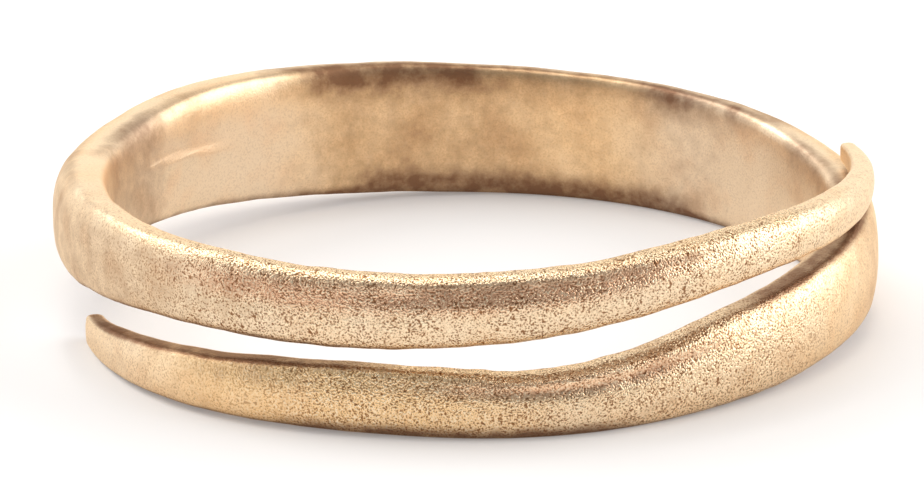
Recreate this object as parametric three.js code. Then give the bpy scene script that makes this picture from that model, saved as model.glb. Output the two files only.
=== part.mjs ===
// A finger ring wound from one strip of wrought bronze. The strip is widest at the back, narrows
// to a blunt end each way, and goes round the finger one and a half times, so its two slim ends
// pass each other at the front. Millimetres, +Z up along the finger, +Y towards the wide back,
// and the origin on the table under the middle of the finger hole.
import * as THREE from 'three';

// Driving sizes
const boreDiameter = 19.0; // across the finger hole
const stripWidth = 3.6; // along the finger, where the strip is widest
const stripThickness = 1.1; // from the inner face to the outer face
const turnGap = 0.8; // open height between one turn and the next, where the gap share is 1
const tipClearance = 0.06; // gap left where the upper end lies over the turn below it
const wearDepth = 0.05; // height worn off the lower edge, which makes it level where it rests
const lowerEndLength = 0.65; // of the rounded lower end
const upperEndLength = 0.3; // of the rounded upper end

// How the strip is wound
const turns = 1.5; // between the rounded ends
const firstRowAngle = THREE.MathUtils.degToRad(195); // where the lower end begins, from +X, seen from above
const climbTurn = 0.7; // where the strip begins to climb over its own lower end

// How squarely the section's edges are cut, as the power of its corner curves
const cornerPower = 4.5;
const ovalPower = 2; // gives an oval, which the section turns into as an end rounds off
const endOvalPower = 2; // how far round an end its section stays oval

// How finely the surface is divided
const ringsPerTurn = 100;
const ringsPerEnd = 5;
const pointsPerRing = 20;
const cornerCrowding = 0.5; // 0 spreads the points evenly, and 1 crowds them into the corners

// The hammered strip's shape between its rounded ends, a row for each twelfth of a turn from the
// lower end to the upper. width is a share of stripWidth. out is how far the inner face stands
// off the finger hole, edge is how thick the strip is at its two edges, and crown is how much
// more it is in the middle of its domed outer face, as shares of stripThickness. gap is the open
// height under the strip, as a share of turnGap. shoulder is how squarely the outer upper edge
// is cut, as a share of cornerPower: crisp on the lower turn, and rubbed round elsewhere.
const stationShares = [
  { width: 0.22, out: 0.20, gap: 0.00, edge: 0.45, crown: 0.00, shoulder: 0.7 },
  { width: 0.39, out: 0.30, gap: 0.15, edge: 0.70, crown: 0.10, shoulder: 0.8 },
  { width: 0.49, out: 0.00, gap: 0.10, edge: 0.60, crown: 0.15, shoulder: 0.9 },
  { width: 0.49, out: -0.10, gap: 0.00, edge: 0.70, crown: 0.20, shoulder: 0.9 },
  { width: 0.68, out: -0.15, gap: 0.15, edge: 0.85, crown: 0.20, shoulder: 0.8 },
  { width: 0.76, out: 0.00, gap: 0.35, edge: 0.95, crown: 0.15, shoulder: 1.0 },
  { width: 0.89, out: 0.05, gap: 0.00, edge: 1.05, crown: 0.15, shoulder: 1.1 },
  { width: 0.95, out: 0.15, gap: 0.05, edge: 0.80, crown: 0.25, shoulder: 0.7 },
  { width: 0.97, out: 0.25, gap: 0.05, edge: 0.70, crown: 0.30, shoulder: 0.6 },
  { width: 1.00, out: 0.00, gap: 0.20, edge: 0.80, crown: 0.30, shoulder: 0.6 },
  { width: 0.94, out: -0.25, gap: 0.45, edge: 1.20, crown: 0.25, shoulder: 0.6 },
  { width: 0.79, out: -0.20, gap: 0.50, edge: 1.35, crown: 0.15, shoulder: 0.6 },
  { width: 0.68, out: -0.05, gap: 1.05, edge: 1.00, crown: 0.05, shoulder: 0.6 },
  { width: 0.58, out: 0.15, gap: 0.90, edge: 0.80, crown: 0.05, shoulder: 0.6 },
  { width: 0.55, out: -0.10, gap: 0.55, edge: 0.70, crown: 0.10, shoulder: 0.6 },
  { width: 0.49, out: -0.15, gap: 1.10, edge: 0.70, crown: 0.15, shoulder: 0.6 },
  { width: 0.39, out: 0.05, gap: 0.95, edge: 0.75, crown: 0.10, shoulder: 0.6 },
  { width: 0.30, out: 0.35, gap: 0.40, edge: 0.65, crown: 0.05, shoulder: 0.6 },
  { width: 0.15, out: 0.65, gap: 0.05, edge: 0.40, crown: 0.05, shoulder: 0.6 },
];
const shareNames = Object.keys(stationShares[0]);

// A smooth curve through the rows, with the place along the strip given in turns
const stationTurns = stationShares.map((row, index) => turns * index / (stationShares.length - 1));
const stationValues = stationShares.flatMap((row) => shareNames.map((name) => row[name]));
const shareCurve = new THREE.CubicInterpolant(stationTurns, stationValues, shareNames.length, []);

function sharesAt(turn) {
  const values = shareCurve.evaluate(turn);
  return Object.fromEntries(shareNames.map((name, index) => [name, values[index]]));
}

// Height of the strip's lower edge. The first turn lies along the table. From climbTurn on, the
// strip climbs until it is clear of the turn below it, and then follows that turn's upper edge.
function lowerEdge(turn) {
  const openHeight = turnGap * sharesAt(turn).gap;
  if (turn <= climbTurn) {
    return openHeight;
  }
  const turnBelow = Math.max(turn - 1, 0);
  const upperEdgeBelow = lowerEdge(turnBelow) + stripWidth * sharesAt(turnBelow).width;
  const climb = THREE.MathUtils.smoothstep(turn, climbTurn, 1);
  return climb * (upperEdgeBelow + tipClearance) + openHeight;
}

// A point on the strip's surface. The section stands upright across the strip: a rounded
// rectangle, flat towards the finger and domed outwards. around goes from the outer face over
// the upper edge, and size shrinks the section about its middle to round off an end.
function surfacePoint(turn, around, size) {
  const shares = sharesAt(turn);
  const angle = around + cornerCrowding * Math.sin(4 * around) / 4;
  const cosine = Math.cos(angle);
  const sine = Math.sin(angle);
  const onShoulder = cosine > 0 && sine > 0;
  const fullPower = cornerPower * (onShoulder ? shares.shoulder : 1);
  const power = THREE.MathUtils.lerp(ovalPower, fullPower, size ** endOvalPower);
  const cornerSum = Math.abs(cosine) ** power + Math.abs(sine) ** power;
  const across = size * cosine * cornerSum ** (-1 / power);
  const upward = size * sine * cornerSum ** (-1 / power);

  const halfEdge = stripThickness * shares.edge / 2;
  const crown = stripThickness * shares.crown * Math.sqrt(Math.max(across, 0)) * (1 - upward * upward);
  const innerFace = boreDiameter / 2 + stripThickness * shares.out;
  const radius = innerFace + halfEdge * (1 + across) + crown;
  const height = lowerEdge(turn) + stripWidth * shares.width * (1 + upward) / 2;

  const angleRound = firstRowAngle + 2 * Math.PI * turn;
  const restingHeight = Math.max(height - wearDepth, 0);
  return new THREE.Vector3(radius * Math.cos(angleRound), radius * Math.sin(angleRound), restingHeight);
}

// How far the rounded ends reach, in turns
const turnLength = Math.PI * (boreDiameter + stripThickness);
const lowerReach = lowerEndLength / turnLength;
const upperReach = upperEndLength / turnLength;

// The sections that the surface runs through, closer together where the ends round off
function sectionPlaces() {
  const lowerPlaces = [];
  const upperPlaces = [];
  for (let step = 1; step < ringsPerEnd; step += 1) {
    const slope = step / ringsPerEnd * Math.PI / 2;
    const size = Math.sin(slope);
    lowerPlaces.push({ turn: -lowerReach * Math.cos(slope), size });
    upperPlaces.unshift({ turn: turns + upperReach * Math.cos(slope), size });
  }
  const middlePlaces = [];
  const middleCount = Math.round(ringsPerTurn * turns);
  for (let step = 0; step <= middleCount; step += 1) {
    middlePlaces.push({ turn: turns * step / middleCount, size: 1 });
  }
  return [...lowerPlaces, ...middlePlaces, ...upperPlaces];
}

// A closed skin over the sections, from a point at the lower end to a point at the upper end
function stripGeometry() {
  const places = sectionPlaces();
  const points = [surfacePoint(-lowerReach, 0, 0)];
  for (const place of places) {
    for (let side = 0; side < pointsPerRing; side += 1) {
      points.push(surfacePoint(place.turn, 2 * Math.PI * side / pointsPerRing, place.size));
    }
  }
  points.push(surfacePoint(turns + upperReach, 0, 0));

  const vertex = (ring, side) => 1 + ring * pointsPerRing + side % pointsPerRing;
  const lastRing = places.length - 1;
  const faces = [];
  for (let side = 0; side < pointsPerRing; side += 1) {
    faces.push(0, vertex(0, side), vertex(0, side + 1));
    for (let ring = 0; ring < lastRing; ring += 1) {
      faces.push(vertex(ring, side), vertex(ring + 1, side), vertex(ring, side + 1));
      faces.push(vertex(ring + 1, side), vertex(ring + 1, side + 1), vertex(ring, side + 1));
    }
    faces.push(points.length - 1, vertex(lastRing, side + 1), vertex(lastRing, side));
  }

  const geometry = new THREE.BufferGeometry().setFromPoints(points);
  geometry.setIndex(faces);
  geometry.computeVertexNormals();
  return geometry;
}

const bronze = new THREE.MeshStandardMaterial({ color: 0xc8a578, roughness: 0.45, metalness: 0.9 });

const ringBand = new THREE.Mesh(stripGeometry(), bronze);
ringBand.name = 'ring_band';

const fingerRing = new THREE.Group();
fingerRing.add(ringBand);

export default fingerRing;
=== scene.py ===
"""A finger ring wound from one strip of wrought bronze, lying on a white table.

The strip is one numpy surface over two parameters: how far round the ring a section stands, in
turns from the lower end, and the way round that section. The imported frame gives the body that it
rides on and the box that it keeps to. Lengths are in metres.
"""
import math

import bpy
import numpy as np
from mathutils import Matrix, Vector


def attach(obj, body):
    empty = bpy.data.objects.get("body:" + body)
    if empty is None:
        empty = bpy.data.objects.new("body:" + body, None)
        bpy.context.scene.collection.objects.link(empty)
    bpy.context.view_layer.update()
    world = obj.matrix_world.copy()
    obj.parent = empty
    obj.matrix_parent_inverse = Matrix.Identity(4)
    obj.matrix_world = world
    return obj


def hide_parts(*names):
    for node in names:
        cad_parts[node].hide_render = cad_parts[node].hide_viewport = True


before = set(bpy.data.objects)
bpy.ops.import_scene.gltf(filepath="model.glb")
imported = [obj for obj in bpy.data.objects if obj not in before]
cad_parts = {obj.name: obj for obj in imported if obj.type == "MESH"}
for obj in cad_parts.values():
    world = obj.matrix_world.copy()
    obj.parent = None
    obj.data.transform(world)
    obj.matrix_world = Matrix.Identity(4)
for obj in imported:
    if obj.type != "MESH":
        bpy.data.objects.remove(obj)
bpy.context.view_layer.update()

# Driving sizes of the ring
BORE_DIAMETER = 0.0190  # across the finger hole
STRIP_WIDTH = 0.0036  # along the finger, where the strip is widest
STRIP_THICKNESS = 0.0011  # from the inner face to the outer face
TURN_GAP = 0.0008  # open height between one turn and the next, where the gap share is 1
TIP_CLEARANCE = 0.00006  # gap left where the upper end lies over the turn below it
WEAR_DEPTH = 0.00005  # height worn off the lower edge, which makes it level where it rests
LOWER_END_LENGTH = 0.00065  # of the rounded lower end
UPPER_END_LENGTH = 0.0003  # of the rounded upper end

# How the strip is wound
TURNS = 1.5  # between the rounded ends
FIRST_ROW_ANGLE = math.radians(195)  # where the lower end begins, from +X, seen from above
CLIMB_TURN = 0.7  # where the strip begins to climb over its own lower end

# How squarely the section's edges are cut, as the power of its corner curves
CORNER_POWER = 4.5
OVAL_POWER = 2  # gives an oval, which the section turns into as an end rounds off
END_OVAL_POWER = 2  # how far round an end its section stays oval

# How far the rounded ends reach past the first row and past the last, in turns
TURN_LENGTH = math.pi * (BORE_DIAMETER + STRIP_THICKNESS)
LOWER_REACH = LOWER_END_LENGTH / TURN_LENGTH
UPPER_REACH = UPPER_END_LENGTH / TURN_LENGTH

# How finely the surface is divided
RINGS = 1000  # from the first row to the last
END_RINGS = 14  # divisions of each rounded end
RING_POINTS = 96
CORNER_CROWDING = 0.5  # 0 spreads the points evenly, and 1 crowds them into the corners

# The hammered strip's shape, a row for each twelfth of a turn from the lower end: width as a share
# of STRIP_WIDTH; out (inner face off the finger hole), edge (thickness at the edges) and crown
# (more thickness in the middle of the outer face) as shares of STRIP_THICKNESS; gap (open height
# below the strip) as a share of TURN_GAP; and shoulder (how squarely the outer upper edge is cut)
# as a share of CORNER_POWER.
SHARE_NAMES = ("width", "out", "gap", "edge", "crown", "shoulder")
STATION_SHARES = np.array([
    (0.22, 0.20, 0.00, 0.45, 0.00, 0.7),
    (0.39, 0.30, 0.15, 0.70, 0.10, 0.8),
    (0.49, 0.00, 0.10, 0.60, 0.15, 0.9),
    (0.49, -0.10, 0.00, 0.70, 0.20, 0.9),
    (0.68, -0.15, 0.15, 0.85, 0.20, 0.8),
    (0.76, 0.00, 0.35, 0.95, 0.15, 1.0),
    (0.89, 0.05, 0.00, 1.05, 0.15, 1.1),
    (0.95, 0.15, 0.05, 0.80, 0.25, 0.7),
    (0.97, 0.25, 0.05, 0.70, 0.30, 0.6),
    (1.00, 0.00, 0.20, 0.80, 0.30, 0.6),
    (0.94, -0.25, 0.45, 1.20, 0.25, 0.6),
    (0.79, -0.20, 0.50, 1.35, 0.15, 0.6),
    (0.68, -0.05, 1.05, 1.00, 0.05, 0.6),
    (0.58, 0.15, 0.90, 0.80, 0.05, 0.6),
    (0.55, -0.10, 0.55, 0.70, 0.10, 0.6),
    (0.49, -0.15, 1.10, 0.70, 0.15, 0.6),
    (0.39, 0.05, 0.95, 0.75, 0.10, 0.6),
    (0.30, 0.35, 0.40, 0.65, 0.05, 0.6),
    (0.15, 0.65, 0.05, 0.40, 0.05, 0.6),
])

# Hammer marks and a finer unevenness: the height of each noise, the size of its marks and its seed
BROAD_NOISE = (0.000022, 0.0016, 11)
FINE_NOISES = ((0.000018, 0.0006, 12), (0.000008, 0.00025, 13))
RUBBED_FINENESS = 0.4  # share of the finer unevenness that is left where there is no grain
RESTING_HEIGHTS = (0.00002, 0.00015)  # between these the marks fade in, above the table

# How lattice_noise() picks a random value for each corner of its lattice
NOISE_VALUES = 4096
HASH_FACTORS = np.array([73856093, 19349663, 83492791])
HASH_SHIFT = 13

# Heights of the marks that the making left in particular places
LIP_HEIGHT = 0.00003
GROOVE_DEPTH = 0.00005
RIDGE_HEIGHT = 0.00006
FOLD_HEIGHT = 0.00009
STEP_HEIGHT = 0.00005

# Where the fold crosses the middle of the inner face, in turns, and how fast it climbs that face
FOLD_TURN = 0.85
FOLD_CLIMB = 3

# The tables below place marks on the strip. Each has, for a part of the section that
# section_parts() names, stretches along the strip: where each starts and ends and how far it
# fades out beyond them, in turns from the lower end, and how strong it is.

# Relief, with heights for strengths: a lip with a groove under it along the upper strand's edge,
# a ridge with a groove under it on the lower strand's shoulder, a fold inside at the left, and the
# lower strand's upper edge, which stands higher from its end to a step
RELIEF = {
    "lip": ((1.19, 1.30, 0.05, LIP_HEIGHT),),
    "groove_under_lip": ((1.19, 1.30, 0.05, -GROOVE_DEPTH),),
    "ridge": ((0.25, 0.29, 0.05, RIDGE_HEIGHT),),
    "groove_under_ridge": ((0.25, 0.29, 0.05, -RIDGE_HEIGHT),),
    "fold": ((0.845, 0.875, 0.03, FOLD_HEIGHT),),
    "upper_edge": ((-0.10, 0.212, 0.01, STEP_HEIGHT),),
}

# Brown patina and painted shade: patina with painted shade on the lower strand's top, which the
# upper strand overhangs, and patina on the back's; patina with painted shade in both strands'
# grooves; painted shade under the front; thin patina where the strip is half rubbed; patina in
# patches and clouds over the inner face, with painted shade at its left end; painted shade with
# patina along the back's inner bottom; and painted shade along the bottom all the way
PATINA_AND_SHADE = {
    # On the lower strand's top, patina with painted shade where the upper strand overhangs it; on
    # the back's top, patina
    "top": (
        (0.03, 0.14, 0.05, 1.2), (0.19, 0.32, 0.05, 0.1), (0.37, 0.46, 0.05, 1.05),
        (0.56, 0.79, 0.02, 0.5),
    ),
    # In the grooves under the lip and the ridge: patina with painted shade
    "upper_strand_groove": ((1.20, 1.30, 0.03, 0.5),),
    "lower_strand_groove": ((0.23, 0.285, 0.03, 0.45),),
    # Painted shade under the front
    "underside": ((0.16, 0.25, 0.04, 1.1),),
    "whole": ((0.05, 0.10, 0.05, 0.15), (0.41, 0.44, 0.02, 0.15)),
    "outer": ((0.46, 0.93, 0.06, 0.25), (0.95, 1.05, 0.05, 0.15)),
    "below_top": ((0.98, 1.11, 0.05, 0.28),),
    "above_bottom": ((0.29, 0.35, 0.03, 0.15),),
    # Patina in patches and clouds; the last row is painted shade at the left end of the inner face
    "inner": (
        (0.60, 0.77, 0.04, 0.2), (0.70, 0.76, 0.04, 0.2), (0.47, 0.53, 0.03, 0.1),
        (0.885, 0.93, 0.02, 0.4),
    ),
    "inner_top": (
        (0.850, 0.900, 0.02, 0.35), (0.788, 0.797, 0.02, 0.3), (0.748, 0.770, 0.02, 0.7),
        (0.712, 0.728, 0.02, 0.6), (0.684, 0.690, 0.02, 0.15), (0.667, 0.671, 0.02, 0.2),
        (0.650, 0.654, 0.02, 0.2), (0.612, 0.617, 0.02, 0.5), (0.584, 0.604, 0.02, 0.3),
        (0.480, 0.528, 0.02, 0.35),
    ),
    "inner_rim": (
        (0.625, 0.630, 0.012, 0.3), (0.569, 0.577, 0.012, 0.35), (0.510, 0.535, 0.012, 0.2),
    ),
    # Painted shade with patina along the back's inner bottom, where the band meets the table
    "inner_bottom": ((0.62, 0.74, 0.03, 1.0),),
    # Painted shade along the bottom edge all the way
    "bottom": ((-0.10, 1.60, 0.01, 0.8),),
}

# Golden metal: on the lower strand, in the middle of the back's inner face, inside at the left,
# on the outside of the back, and over the upper strand, twice as much along its edges
GOLDEN = {
    "whole": ((0.12, 0.18, 0.09, 1.0), (0.27, 0.42, 0.09, 0.4), (1.08, 1.35, 0.08, 0.25)),
    "edges": ((1.08, 1.35, 0.08, 0.25),),
    "inner": ((0.65, 0.76, 0.05, 0.8),),
    "inner_upper": ((0.79, 0.86, 0.03, 0.4),),
    "outer": ((0.50, 0.90, 0.08, 0.5),),
}

# Coppery metal: a band below the shoulder of each strand
COPPER = {
    "upper_strand_band": ((1.12, 1.27, 0.06, 1.0),),
    "lower_strand_band": ((0.22, 0.29, 0.05, 0.7),),
}

# Sugary grain, which brings relief, pits and painted glints: stretches of both strands, most
# along the front, and what there is everywhere
GRAIN = (
    (0.02, 0.42, 0.05, 0.25), (1.02, 1.46, 0.05, 0.25),
    (0.17, 0.33, 0.08, 0.6), (1.11, 1.34, 0.08, 0.6),
)
LEAST_GRAIN = 0.15

# Linear colours of the bronze
PALE_BRONZE = (0.90, 0.71, 0.50, 1)
GOLDEN_BRONZE = (0.95, 0.64, 0.33, 1)
COPPER_BRONZE = (0.88, 0.52, 0.32, 1)
EDGE_TINT = (1.0, 0.9, 0.75, 1)
# Painted glints: pale specks in the colour, standing in for grains that catch the light
PAINTED_GLINT = (1.0, 0.81, 0.56, 1)
PIT_BROWN = (0.22, 0.08, 0.02, 1)
# Brown of the patina, which also paints shade under, along the bottom of and between the strands
PATINA_AND_SHADE_BROWN = (0.20, 0.09, 0.05, 1)

# Fractal noises of the bronze: marks per metre, how many finer layers, and their roughness
GRAIN_NOISE = (19000, 1, 0.5)
HOLLOW_NOISE = (9000, 0, 0.5)
MOTTLE_NOISE = (2500, 3, 0.6)
CLOUD_NOISE = (900, 3, 0.5)
NOISE_MIDDLE = 0.5

# Where each pattern begins to show, and where it shows in full
PIT_RANGE = (0.48, 0.33)
HOLLOW_RANGE = (0.27, 0.21)
GLINT_RANGE = (0.52, 0.68)
COLOUR_RANGE = (0, 1)
PATINA_AND_SHADE_RANGE = (0.1, 1.05)

# Strengths of the patterns
PIT_GATHERING = 0.3  # how much the mottle gathers the pits
CLOUD_STRENGTH = 0.8  # how much the clouds vary the metal's colour and the patina with its painted shade
LEAST_UNEVENNESS = 0.5  # how much the patina and painted shade vary where there is little of them
BROWN_COVER = 0.9  # how much of the metal full pits and full patina and painted shade hide
RUBBED_ROUGHNESS = 0.42
GRAIN_GLOSS = 0.17  # taken off the roughness where the grain is strongest
PATINA_AND_SHADE_ROUGHNESS = 0.12  # added to it under full patina and painted shade
GRAIN_HEIGHT = 0.00003
RUBBED_GRAIN = 0.1  # share of the grain's height that is left where there is no grain

# The table: its width, its colour and roughness, and the colour and strength of its glow
TABLE_WIDTH = 1.2
TABLE_WHITE = (0.725, 0.71, 0.70, 1)
TABLE_ROUGHNESS = 0.7
GLOW_WHITE = (1.0, 0.97, 0.95, 1)
TABLE_GLOW = 0.21
NO_GLOW = (0, 0, 0, 1)

# The room: its plain brightness, and softboxes by name, azimuth and elevation in degrees,
# distance, width and brightness
ROOM_WHITE = (1, 1, 1, 1)
ROOM_RADIANCE = 0.37
LAMPS = (
    ("right_softbox", 8, 25, 0.45, 0.46, 2.6),
    ("left_softbox", 160, 26, 0.45, 0.80, 0.74),
    ("upper_left_softbox", 146, 42, 0.42, 0.20, 3.1),
    ("top_softbox", 132, 82, 0.45, 0.26, 3.2),
    ("back_softbox", 78, 10, 0.45, 0.46, 0.95),
)

# The photograph's view: its frame in pixels, the scale at the ring, and the camera's place, with
# its angles in degrees
FRAME_WIDTH_PX = 924
PX_PER_METRE = 38180.0
CAMERA_AZIMUTH = -90
CAMERA_ELEVATION = 18.6
CAMERA_DISTANCE = 0.45
CAMERA_TARGET = (-0.00009, 0.0002, 0.00174)
CLIP_START = 0.01
SENSOR_WIDTH_MM = 36.0

# A Mix node has sockets of the same names for each kind of value. These are the numbers of those
# that blend colours.
MIX_FACTOR = 0
MIX_FIRST_COLOUR = 6
MIX_SECOND_COLOUR = 7
MIX_COLOUR_RESULT = 2

TINY = 1e-12  # keeps a division by a length safe where the length comes to nothing


def eased(share):
    """A cubic that goes from 0 to 1 as share does, and is level at both ends."""
    return share * share * (3 - 2 * share)


def smooth_step(low, high, value):
    """0 at low, 1 at high, an eased rise between them, and level beyond them. low may be the
    greater of the two, and then this falls as value grows."""
    return eased(np.clip((value - low) / (high - low), 0, 1))


def bulge(place, middle, half_width):
    """A round bump: 1 at middle and 0 from half_width on either side of it."""
    share = np.clip(1 - ((place - middle) / half_width) ** 2, 0, 1)
    return share * share


def stretch(turn, start, end, fade):
    """1 from start to end along the strip, fading to 0 over fade outside them."""
    return smooth_step(start - fade, start, turn) * smooth_step(end + fade, end, turn)


def stretches(turn, rows):
    """The sum of stretches along the strip, each times its strength."""
    return sum(strength * stretch(turn, start, end, fade) for start, end, fade, strength in rows)


def station_curve(name, turn):
    """The named share at each turn: a cubic through the rows. At a row the curve has the slope of
    the line between the rows beside it, and at the ends that of the line to the next row."""
    rows = STATION_SHARES[:, SHARE_NAMES.index(name)]
    slopes = np.gradient(rows)
    place = np.clip(turn / TURNS, 0, 1) * (len(rows) - 1)
    row = np.minimum(place.astype(int), len(rows) - 2)
    part = place - row
    before = (1 + 2 * part) * (1 - part) ** 2 * rows[row] + part * (1 - part) ** 2 * slopes[row]
    after = part ** 2 * (3 - 2 * part) * rows[row + 1] + part ** 2 * (part - 1) * slopes[row + 1]
    return before + after


def lower_edge(turn):
    """Height of the strip's lower edge: its open height above the table, and past CLIMB_TURN
    that much above a rise, which ends a clearance above the upper edge of the turn below."""
    turn_below = np.maximum(turn - 1, 0)
    open_below = TURN_GAP * station_curve("gap", turn_below)
    upper_edge_below = open_below + STRIP_WIDTH * station_curve("width", turn_below)
    rise = smooth_step(CLIMB_TURN, 1, turn) * (upper_edge_below + TIP_CLEARANCE)
    return rise + TURN_GAP * station_curve("gap", turn)


def section_place(turn, around, size):
    """Where a point lies on its section, a rounded rectangle whose corners follow a power curve:
    across, from -1 on the inner face to 1 on the outer, and upward, from -1 on the lower edge to
    1 on the upper. around goes from the outer face over the upper edge. The section turns into an
    oval as size, which shrinks it at an end, goes to 0."""
    angle = around + CORNER_CROWDING * np.sin(4 * around) / 4
    cosine = np.cos(angle)
    sine = np.sin(angle)
    on_shoulder = (cosine > 0) & (sine > 0)
    full_power = CORNER_POWER * np.where(on_shoulder, station_curve("shoulder", turn), 1)
    power = OVAL_POWER + (full_power - OVAL_POWER) * size ** END_OVAL_POWER
    reach = (np.abs(cosine) ** power + np.abs(sine) ** power) ** (-1 / power)
    return cosine * reach, sine * reach


def strip_points(turn, across, upward):
    """Points of the strip, whose section stands upright across it. The radius is the inner face's
    and a share of the thickness that goes with across, and more by the crown, a dome over the
    outer face. The height goes from the lower edge to the upper with upward, less the wear, and
    stops at the table."""
    half_edge = STRIP_THICKNESS * station_curve("edge", turn) / 2
    dome = np.sqrt(np.maximum(across, 0)) * (1 - upward ** 2)
    crown = STRIP_THICKNESS * station_curve("crown", turn) * dome
    inner_face = BORE_DIAMETER / 2 + STRIP_THICKNESS * station_curve("out", turn)
    radius = inner_face + half_edge * (1 + across) + crown
    height = lower_edge(turn) + STRIP_WIDTH * station_curve("width", turn) * (1 + upward) / 2
    resting = np.maximum(height - WEAR_DEPTH, 0)
    angle_round = FIRST_ROW_ANGLE + 2 * np.pi * turn
    return np.stack([radius * np.cos(angle_round), radius * np.sin(angle_round), resting], axis=-1)


def section_places():
    """Turn and size of each section: even along the strip from the first row to the last, and past
    them closing to a point by a quarter ellipse of the rounded end's length."""
    slope = np.linspace(0, np.pi / 2, END_RINGS + 1)[1:-1]
    lower = -LOWER_REACH * np.cos(slope)
    upper = TURNS + UPPER_REACH * np.cos(slope)
    turn = np.concatenate([lower, np.linspace(0, TURNS, RINGS), upper[::-1]])
    size = np.concatenate([np.sin(slope), np.ones(RINGS), np.sin(slope)[::-1]])
    return turn, size


def section_parts(turn, across, upward):
    """The parts of the section that marks lie on, by name: each is 1 on its part and fades to 0
    beside it. They are the faces, the sides between them, and bands at some height. A smooth step
    gives where a part begins and where it is in full, and a bulge its middle and half its width,
    both in across or upward, which go from -1 to 1. The fold's middle climbs as turn grows."""
    outer = smooth_step(-0.1, 0.5, across)
    inner = smooth_step(-0.1, 0.5, -across)
    full_outer = smooth_step(0.2, 0.9, across)
    full_inner = smooth_step(0.2, 0.9, -across)
    between_faces = smooth_step(0.9, 0.6, across) * smooth_step(-0.8, -0.2, across)
    return {
        "whole": 1,
        "outer": outer,
        "inner": inner,
        "top": smooth_step(0.75, 0.95, upward) * between_faces,
        "bottom": smooth_step(0.80, 1.0, -upward),
        "edges": smooth_step(0.7, 0.95, np.abs(upward)),
        "upper_edge": smooth_step(0.6, 0.95, upward),
        "underside": smooth_step(0.40, 0.90, -upward),
        "below_top": smooth_step(0.9, 0.5, upward),
        "above_bottom": smooth_step(-0.8, -0.3, upward),
        "inner_top": inner * smooth_step(0.40, 0.90, upward),
        "inner_rim": inner * smooth_step(0.70, 0.90, upward),
        "inner_upper": inner * smooth_step(0.3, 0.7, upward),
        "inner_bottom": inner * smooth_step(0.45, 0.95, -upward),
        "upper_strand_groove": outer * bulge(upward, 0.66, 0.24),
        "lower_strand_groove": outer * bulge(upward, 0.50, 0.20),
        "upper_strand_band": outer * bulge(upward, 0.45, 0.6),
        "lower_strand_band": outer * bulge(upward, 0.60, 0.4),
        "lip": full_outer * bulge(upward, 0.88, 0.20),
        "groove_under_lip": full_outer * bulge(upward, 0.50, 0.32),
        "ridge": full_outer * bulge(upward, 0.78, 0.15),
        "groove_under_ridge": full_outer * bulge(upward, 0.50, 0.18),
        "fold": full_inner * bulge(upward, FOLD_CLIMB * (turn - FOLD_TURN), 0.15),
    }


def marked(turn, parts, marks):
    """The sum, over the parts of the section in a table of marks, of each part times its stretches
    along the strip."""
    return sum(parts[name] * stretches(turn, rows) for name, rows in marks.items())


def lattice_noise(points, cell, seed):
    """Smooth noise from -1 to 1: a random value at each corner of a cubic lattice of that cell,
    blended between the corners by an eased share."""
    table = np.random.default_rng(seed).uniform(-1, 1, NOISE_VALUES)
    place = points / cell
    corner = np.floor(place).astype(np.int64)
    part = eased(place - corner)
    total = np.zeros(points.shape[:-1])
    for step in np.ndindex(2, 2, 2):
        key = (corner + step) @ HASH_FACTORS
        weight = np.prod(np.where(np.array(step) == 1, part, 1 - part), axis=-1)
        total += weight * table[(key ^ (key >> HASH_SHIFT)) % NOISE_VALUES]
    return total


def grid_normals(points):
    """Outward unit normals of a grid whose columns close on themselves: the cross product of its
    tangents along and around."""
    along = np.gradient(points, axis=0)
    around = np.roll(points, -1, axis=1) - np.roll(points, 1, axis=1)
    normals = np.cross(along, around)
    return normals / np.maximum(np.linalg.norm(normals, axis=-1, keepdims=True), TINY)


def hammered(points, relief, grain, size):
    """The surface with its relief, broad hammer marks and a finer unevenness, which is stronger
    where there is grain. Each is a height along the normal, which shrinks with the section at an
    end and fades out where the strip rests."""
    height, cell, seed = BROAD_NOISE
    marks = relief + height * lattice_noise(points, cell, seed)
    fineness = RUBBED_FINENESS + (1 - RUBBED_FINENESS) * grain
    for height, cell, seed in FINE_NOISES:
        marks += fineness * height * lattice_noise(points, cell, seed)
    clear_of_table = smooth_step(*RESTING_HEIGHTS, points[..., 2])
    return points + grid_normals(points) * (marks * size * clear_of_table)[..., None]


def with_ends(first, grid, last):
    """The grid's values in one list, between those of the strip's two end points."""
    shape = (-1,) + grid.shape[2:]
    return np.concatenate([np.reshape(first, shape), grid.reshape(shape), np.reshape(last, shape)])


def skin_faces(rings, columns):
    """Quads between neighbouring rings of points, and a fan of triangles at each end. The first
    end is point 0, the rings follow in order, and the other end is the last point."""
    side = np.arange(columns)
    next_side = (side + 1) % columns
    ring = 1 + columns * np.arange(rings)[:, None]
    near = ring[:-1]
    far = ring[1:]
    quads = np.stack([near + side, far + side, far + next_side, near + next_side], axis=-1)
    first_point = np.zeros_like(side)
    last_point = np.full_like(side, 1 + columns * rings)
    start_fan = np.stack([first_point, ring[0] + side, ring[0] + next_side], axis=-1)
    end_fan = np.stack([last_point, ring[-1] + next_side, ring[-1] + side], axis=-1)
    return quads.reshape(-1, 4).tolist() + start_fan.tolist() + end_fan.tolist()


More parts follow.
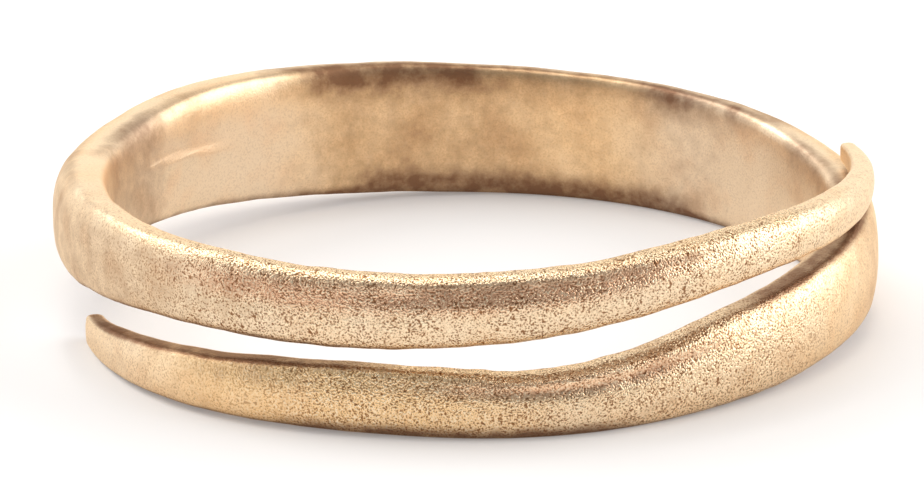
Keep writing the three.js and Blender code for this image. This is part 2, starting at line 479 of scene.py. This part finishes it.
def strip_object(name):
    """The strip as one closed mesh with smooth shading. Its points carry how much patina with
    painted shade and how much grain they have, and how golden and how coppery they are, as
    attributes."""
    places, sizes = section_places()
    angles = np.linspace(0, 2 * np.pi, RING_POINTS, endpoint=False)
    turn, size, around = np.broadcast_arrays(places[:, None], sizes[:, None], angles)
    across, upward = section_place(turn, around, size)
    parts = section_parts(turn, across, upward)
    grain = LEAST_GRAIN + stretches(turn, GRAIN)
    smooth_grid = strip_points(turn, size * across, size * upward)
    grid = hammered(smooth_grid, marked(turn, parts, RELIEF), grain, size)
    end_turns = np.array([-LOWER_REACH, TURNS + UPPER_REACH])
    lower_end, upper_end = strip_points(end_turns, np.zeros(2), np.zeros(2))

    mesh = bpy.data.meshes.new(name)
    points = with_ends(lower_end, grid, upper_end)
    mesh.from_pydata(points.tolist(), [], skin_faces(len(places), RING_POINTS))
    mesh.polygons.foreach_set("use_smooth", np.ones(len(mesh.polygons), dtype=bool))
    shares = {
        "patina_and_shade": np.clip(marked(turn, parts, PATINA_AND_SHADE), 0, 1),
        "grain": grain,
        "golden": marked(turn, parts, GOLDEN),
        "copper": marked(turn, parts, COPPER),
    }
    for share_name, share in shares.items():
        attribute = mesh.attributes.new(share_name, "FLOAT", "POINT")
        attribute.data.foreach_set("value", with_ends(share[0, 0], share, share[-1, 0]))
    mesh.update()
    piece = bpy.data.objects.new(name, mesh)
    bpy.context.scene.collection.objects.link(piece)
    return piece


class Value:
    """An output of one of a shader's nodes. Sums on values add Math nodes to the shader."""

    def __init__(self, shader, socket):
        self.shader = shader
        self.socket = socket

    def __add__(self, other):
        return self.shader.math("ADD", self, other)

    def __sub__(self, other):
        return self.shader.math("SUBTRACT", self, other)

    def __rsub__(self, other):
        return self.shader.math("SUBTRACT", other, self)

    def __mul__(self, other):
        return self.shader.math("MULTIPLY", self, other)

    __radd__ = __add__
    __rmul__ = __mul__

    def over(self, low, high):
        """0 at low, 1 at high, a straight line between them, and level beyond them. low may be
        the greater of the two."""
        return self.shader.math("MULTIPLY", self - low, 1 / (high - low), clamp=True)


class Shader:
    """A material's node tree, built up one node at a time."""

    def __init__(self, name):
        self.material = bpy.data.materials.new(name)
        self.material.use_nodes = True
        self.tree = self.material.node_tree
        self.tree.nodes.clear()

    def node(self, kind, inputs, settings=(), output=0):
        """A node of that kind. Its settings, pairs of a name and a choice, are made first. Then
        each of its inputs, by name or number, is linked to a Value or set to a number or colour.
        Gives its named or numbered output, if output isn't None."""
        node = self.tree.nodes.new("ShaderNode" + kind)
        for setting, choice in settings:
            setattr(node, setting, choice)
        for place, value in inputs.items():
            if isinstance(value, Value):
                self.tree.links.new(value.socket, node.inputs[place])
            else:
                node.inputs[place].default_value = value
        return None if output is None else Value(self, node.outputs[output])

    def math(self, operation, first, second, clamp=False):
        """A Math node on two numbers, its result cut off at 0 and 1 if clamp is on."""
        settings = (("operation", operation), ("use_clamp", clamp))
        return self.node("Math", {0: first, 1: second}, settings)

    def mix(self, factor, first, second):
        """A blend of two colours: the first at a factor of 0, and the second at 1."""
        inputs = {MIX_FACTOR: factor, MIX_FIRST_COLOUR: first, MIX_SECOND_COLOUR: second}
        return self.node("Mix", inputs, (("data_type", "RGBA"),), MIX_COLOUR_RESULT)

    def attribute(self, name):
        """The mesh's own value of that name."""
        return self.node("Attribute", {}, (("attribute_name", name),), "Fac")

    def noise(self, scale, detail, roughness):
        """Fractal noise from 0 to 1 over the object's own coordinates."""
        place = self.node("TexCoord", {}, output="Object")
        inputs = {"Vector": place, "Scale": scale, "Detail": detail, "Roughness": roughness}
        return self.node("TexNoise", inputs, output="Fac")

    def finish(self, surface):
        """The material, with that shader as its surface."""
        self.node("OutputMaterial", {"Surface": surface}, output=None)
        return self.material


def bronze_material():
    """Rubbed bronze: pale, golden or coppery metal, with painted glints, which are pale specks in
    its colour, and small dark pits and hollows where it has grain, and brown over it where patina
    is left and where shade is painted. Mottle and clouds break them up."""
    shader = Shader("rubbed_bronze")
    grain_share = shader.attribute("grain")
    patina_and_shade_left = shader.attribute("patina_and_shade")
    grain = shader.noise(*GRAIN_NOISE)
    hollows = shader.noise(*HOLLOW_NOISE)
    mottle = shader.noise(*MOTTLE_NOISE) - NOISE_MIDDLE
    clouds = CLOUD_STRENGTH * (shader.noise(*CLOUD_NOISE) - NOISE_MIDDLE)

    golden = (shader.attribute("golden") + clouds).over(*COLOUR_RANGE)
    coppery = (shader.attribute("copper") + clouds).over(*COLOUR_RANGE)
    # Painted glints: pale specks mixed into the colour where there is grain
    painted_glints = grain_share * grain.over(*GLINT_RANGE)
    small_pits = (grain + PIT_GATHERING * mottle).over(*PIT_RANGE)
    pitted = grain_share * shader.math("MAXIMUM", small_pits, hollows.over(*HOLLOW_RANGE))
    unevenness = LEAST_UNEVENNESS + (1 - LEAST_UNEVENNESS) * patina_and_shade_left
    # Patina, with painted shade under the strip, along its bottom, in its grooves and between the
    # strands
    patina_and_shade = (patina_and_shade_left + unevenness * (mottle + clouds)).over(*PATINA_AND_SHADE_RANGE)

    golden_metal = shader.mix(golden, PALE_BRONZE, GOLDEN_BRONZE)
    metal = shader.mix(coppery, golden_metal, COPPER_BRONZE)
    metal_with_painted_glints = shader.mix(painted_glints, metal, PAINTED_GLINT)
    pitted_metal = shader.mix(BROWN_COVER * pitted, metal_with_painted_glints, PIT_BROWN)
    grain_height = grain * (RUBBED_GRAIN + (1 - RUBBED_GRAIN) * grain_share)
    surface = shader.node("BsdfPrincipled", {
        "Base Color": shader.mix(BROWN_COVER * patina_and_shade, pitted_metal, PATINA_AND_SHADE_BROWN),
        "Metallic": 1.0,
        "Specular Tint": EDGE_TINT,
        "Roughness": RUBBED_ROUGHNESS - GRAIN_GLOSS * grain_share + PATINA_AND_SHADE_ROUGHNESS * patina_and_shade,
        "Normal": shader.node("Bump", {"Height": grain_height, "Distance": GRAIN_HEIGHT}),
    })
    return shader.finish(surface)


def table_material():
    """White table: matt and a little warm. What the camera sees of it, itself or in the bronze, has
    a little glow of its own, which lightens the ring's shadow."""
    shader = Shader("white_table")
    seen_itself = shader.node("LightPath", {}, output="Is Camera Ray")
    seen_in_bronze = shader.node("LightPath", {}, output="Is Glossy Ray")
    seen = shader.math("MAXIMUM", seen_itself, seen_in_bronze)
    surface = shader.node("BsdfPrincipled", {
        "Base Color": TABLE_WHITE,
        "Roughness": TABLE_ROUGHNESS,
        "Emission Color": shader.mix(seen, NO_GLOW, GLOW_WHITE),
        "Emission Strength": TABLE_GLOW,
    })
    return shader.finish(surface)


def add_table():
    """A square table at the height that the ring rests on. It belongs to the room, not the ring."""
    half = TABLE_WIDTH / 2
    corners = [(-half, -half, 0), (half, -half, 0), (half, half, 0), (-half, half, 0)]
    mesh = bpy.data.meshes.new("table")
    mesh.from_pydata(corners, [], [(0, 1, 2, 3)])
    mesh.materials.append(table_material())
    sheet = bpy.data.objects.new("table", mesh)
    bpy.context.scene.collection.objects.link(sheet)


def stand_facing(thing, target, azimuth, elevation, distance):
    """Puts a camera or lamp in the scene at a distance from target, facing it, at angles in
    degrees: azimuth from +X towards the back, and elevation above the table."""
    level = distance * math.cos(math.radians(elevation))
    x, y, z = target
    thing.location = (x + level * math.cos(math.radians(azimuth)),
                      y + level * math.sin(math.radians(azimuth)),
                      z + distance * math.sin(math.radians(elevation)))
    backwards = thing.location - Vector(target)
    thing.rotation_euler = backwards.to_track_quat("Z", "Y").to_euler()
    bpy.context.scene.collection.objects.link(thing)


def add_lamp(name, azimuth, elevation, distance, width, radiance):
    """A square softbox facing the ring. Its power is pi times its area times radiance, which
    makes its face as bright as radiance."""
    light = bpy.data.lights.new(name, "AREA")
    light.size = width
    light.energy = radiance * math.pi * width * width
    lamp = bpy.data.objects.new(name, light)
    stand_facing(lamp, (0, 0, 0), azimuth, elevation, distance)


def light_room():
    """A white room, equally bright all round, and its softboxes."""
    world = bpy.data.worlds.new("white_room")
    world.use_nodes = True
    background = world.node_tree.nodes["Background"]
    background.inputs["Color"].default_value = ROOM_WHITE
    background.inputs["Strength"].default_value = ROOM_RADIANCE
    bpy.context.scene.world = world
    for lamp in LAMPS:
        add_lamp(*lamp)


def add_camera():
    """The photograph's camera, which looks down at the ring from the front. Its lens gives
    PX_PER_METRE at the ring: the sensor's width times the distance, times PX_PER_METRE over the
    frame's width."""
    data = bpy.data.cameras.new("camera")
    data.sensor_width = SENSOR_WIDTH_MM
    data.lens = PX_PER_METRE * CAMERA_DISTANCE * SENSOR_WIDTH_MM / FRAME_WIDTH_PX
    data.clip_start = CLIP_START
    camera = bpy.data.objects.new("camera", data)
    stand_facing(camera, CAMERA_TARGET, CAMERA_AZIMUTH, CAMERA_ELEVATION, CAMERA_DISTANCE)
    bpy.context.scene.camera = camera


ring = strip_object("bronze_strip")
ring.data.materials.append(bronze_material())
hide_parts("ring_band")
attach(ring, "root")

add_table()
light_room()
add_camera()
bpy.context.scene.view_settings.view_transform = "Standard"
